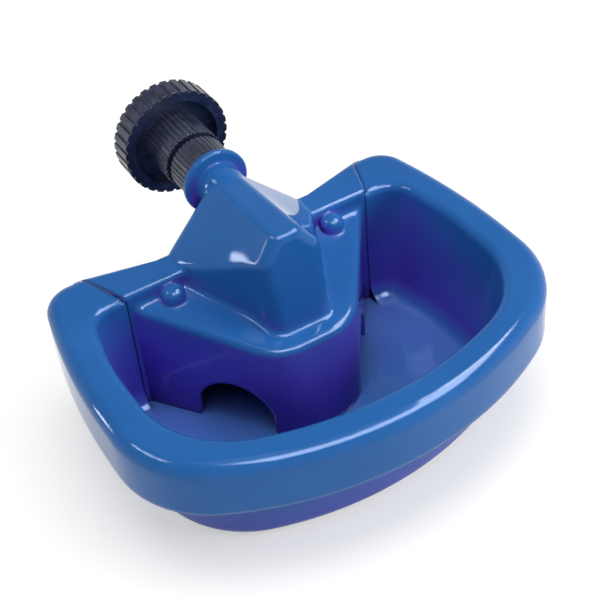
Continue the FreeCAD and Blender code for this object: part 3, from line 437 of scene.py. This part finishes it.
def makeThread(name, thread, slot):
    # a ridge on a helix about the inlet axis: at turn angle t its middle lies pitch * t / 360 degrees
    # along Y, and its height falls evenly to nothing over the last sixth of a turn at each end
    foot = -helix["sunk"] * thread["height"]
    length = thread["end"] - thread["start"] - thread["base"]
    angle = np.linspace(0, 2 * math.pi * length / thread["pitch"], helix["steps"])
    fade = np.clip(np.minimum(angle, angle[-1] - angle) / helix["runOut"], helix["tip"], 1)
    outward = np.array([foot, thread["height"], thread["height"], foot])
    along = np.array([-thread["base"], -thread["crest"], thread["crest"], thread["base"]]) / 2
    radius = thread["wall"] + outward[None, :] * fade[:, None]
    middle = thread["start"] + thread["base"] / 2 + thread["pitch"] * angle / (2 * math.pi)
    points = np.stack([
        radius * np.cos(angle)[:, None],
        middle[:, None] + along[None, :] * fade[:, None],
        axisHeight + radius * np.sin(angle)[:, None],
    ], axis=-1)
    count, around = points.shape[:2]
    row, side = np.meshgrid(np.arange(count - 1), np.arange(around), indexing="ij")
    first, second = row * around + side, row * around + (side + 1) % around
    quads = np.stack([first, second, second + around, first + around], axis=-1).reshape(-1, 4).tolist()
    ends = [tuple(range(around)), tuple(range((count - 1) * around, count * around))]
    mesh = bpy.data.meshes.new(name)
    mesh.from_pydata(points.reshape(-1, 3).tolist(), [], quads + ends)
    shape = bmesh.new()
    shape.from_mesh(mesh)
    bmesh.ops.recalc_face_normals(shape, faces=shape.faces)
    shape.to_mesh(mesh)
    shape.free()
    makePiece(name, mesh, slot)


makeThread("capThread", capThread, "black_gloss")
makeThread("shankThread", shankThread, "black")
print("threads made")


# Floor, light and camera

studio = {
    "floor": "#DADAD8",
    "floorCloud": "#D6D6D3",
    "cloud": 180,              # mm
    "floorReach": 3.0,         # metres from the middle to each side
    "gap": 0.0002,             # metres between the part and the floor
    "floorLift": (0.43, 0.70), # added for what is seen only, near the part and far off
    "liftRange": (0.35, 1.1),  # metres from the part over which that changes
    "surround": 0.50,          # strength of the even white room as light
    "ceiling": 0.40,           # strength of its upper part as a gloss sees it
    "wallTop": (0.15, 0.55),   # height of the look upward where the white walls end and the ceiling starts
    "lamps": [                 # place, aim, size in metres, watts, lights surfaces, shows in gloss
        ((0.00, 0.00, 0.95), (0.0, 0.0, 0.0), (0.80, 0.50), 4.0, True, False),
        ((0.80, -0.60, 0.45), (0.0, 0.0, 0.03), (0.60, 0.60), 6.0, True, False),
        ((-0.95, -0.55, 0.16), (0.0, 0.0, 0.05), (0.60, 0.20), 1.0, True, False),
        ((0.30, 0.08, 0.95), (0.30, 0.08, 0.0), (1.10, 0.16), 24.0, False, True),
        ((0.30, -0.40, 0.95), (0.30, -0.40, 0.0), (1.10, 0.70), 72.0, False, True),
        ((-0.52, 0.32, 0.95), (-0.52, 0.32, 0.0), (0.06, 0.50), 2.4, False, True),
        ((-0.66, 0.32, 0.95), (-0.66, 0.32, 0.0), (0.12, 0.50), 6.0, False, True),
        ((-1.1, 1.0, 0.30), (0.0, 0.0, 0.05), (0.08, 0.3), 2.0, False, True),
    ],
}


def seenRays(tree):
    # 1 for what the camera, a gloss or a clear piece sees, 0 for light that falls on the part
    path = add(tree, "LightPath").outputs
    return combined(tree, "MAXIMUM", path["Is Camera Ray"],
                    combined(tree, "MAXIMUM", path["Is Glossy Ray"], path["Is Transmission Ray"]))


def makeFloor():
    # a wide square just under the part, white to the camera where nothing shades it
    reach = studio["floorReach"]
    height = cadBox[0][2] - studio["gap"]
    corners = ((-reach, -reach), (reach, -reach), (reach, reach), (-reach, reach))
    mesh = bpy.data.meshes.new("studioFloor")
    mesh.from_pydata([(x, y, height) for x, y in corners], [], [(0, 1, 2, 3)])
    floor = bpy.data.objects.new("studioFloor", mesh)
    bpy.context.scene.collection.objects.link(floor)
    material, tree, place = emptyMaterial("PaintedBoardPale")
    cloud = noiseOf(tree, place, studio["cloud"], 2)
    colour = mixed(tree, spread(tree, cloud, 0.3, 0.7, 0, 0.3), studio["floor"], studio["floorCloud"])
    board = add(tree, "BsdfDiffuse", links={"Color": colour}).outputs[0]
    away = add(tree, "VectorMath", links={0: place}, operation="LENGTH").outputs["Value"]
    added = spread(tree, away, *studio["liftRange"], *studio["floorLift"])
    lift = add(tree, "Emission", {"Color": (1, 1, 1, 1)},
               {"Strength": combined(tree, "MULTIPLY", seenRays(tree), added)}).outputs[0]
    both = add(tree, "AddShader", links={0: board, 1: lift}).outputs[0]
    add(tree, "OutputMaterial", links={"Surface": both})
    mesh.materials.append(material)


def makeRoom():
    # an even pale room: plain white behind the part, and a softer white as light
    world = bpy.data.worlds.new("softRoom")
    world.use_nodes = True
    tree = world.node_tree
    tree.nodes.clear()
    look = add(tree, "TexCoord").outputs["Generated"]
    height = add(tree, "SeparateXYZ", links={"Vector": look}).outputs["Z"]
    seen = spread(tree, height, *studio["wallTop"], 1.0, studio["ceiling"])
    seen = combined(tree, "MAXIMUM", seen, add(tree, "LightPath").outputs["Is Camera Ray"])
    light = combined(tree, "SUBTRACT", 1.0, seenRays(tree))
    strength = combined(tree, "ADD", combined(tree, "MULTIPLY", light, studio["surround"]),
                        combined(tree, "MULTIPLY", seenRays(tree), seen))
    back = add(tree, "Background", {"Color": (1, 1, 1, 1)}, {"Strength": strength}).outputs[0]
    add(tree, "OutputWorld", links={"Surface": back})
    bpy.context.scene.world = world


def makeLamp(index, place, aim, size, watts, lights, shows):
    # a rectangular soft box that looks from its place to its aim
    name = "softbox%d" % index
    light = bpy.data.lights.new(name, "AREA")
    light.shape = "RECTANGLE"
    light.size, light.size_y = size
    light.energy = watts
    lamp = bpy.data.objects.new(name, light)
    bpy.context.scene.collection.objects.link(lamp)
    lamp.location = place
    lamp.rotation_mode = "QUATERNION"
    lamp.rotation_quaternion = (Vector(aim) - Vector(place)).to_track_quat("-Z", "Y")
    lamp.visible_diffuse = lights
    lamp.visible_glossy = shows


photoView = {
    "azimuth": -27.68, "elevation": 41.61, "roll": -5.75,     # degrees
    "lens": 83.52, "sensor": 36.0,                            # mm
    "off": (0.02543, 0.00690, 0.54562),                       # metres right of, above and behind the aim
    "aim": (0.0, 0.0615, 0.003),
    "clip": (0.01, 20),
}


def makeCamera():
    # the axes come from azimuth and elevation, then turn by the roll about the line of sight
    a, e, r = (math.radians(photoView[k]) for k in ("azimuth", "elevation", "roll"))
    back = Vector((math.sin(a) * math.cos(e), -math.cos(a) * math.cos(e), math.sin(e)))
    level = Vector((math.cos(a), math.sin(a), 0))
    rise = back.cross(level)
    right = math.cos(r) * level + math.sin(r) * rise
    up = -math.sin(r) * level + math.cos(r) * rise
    offRight, offUp, offBack = photoView["off"]
    camera = bpy.data.objects.new("photoCamera", bpy.data.cameras.new("photoCamera"))
    bpy.context.scene.collection.objects.link(camera)
    camera.data.sensor_width = photoView["sensor"]
    camera.data.lens = photoView["lens"]
    camera.data.clip_start, camera.data.clip_end = photoView["clip"]
    turn = Matrix((right, up, back)).transposed().to_4x4()
    turn.translation = Vector(photoView["aim"]) + right * offRight + up * offUp + back * offBack
    camera.matrix_world = turn
    bpy.context.scene.camera = camera


makeFloor()
makeRoom()
for index, lampValues in enumerate(studio["lamps"]):
    makeLamp(index, *lampValues)
makeCamera()
bpy.context.scene.view_settings.view_transform = "Standard"
print("studio set")
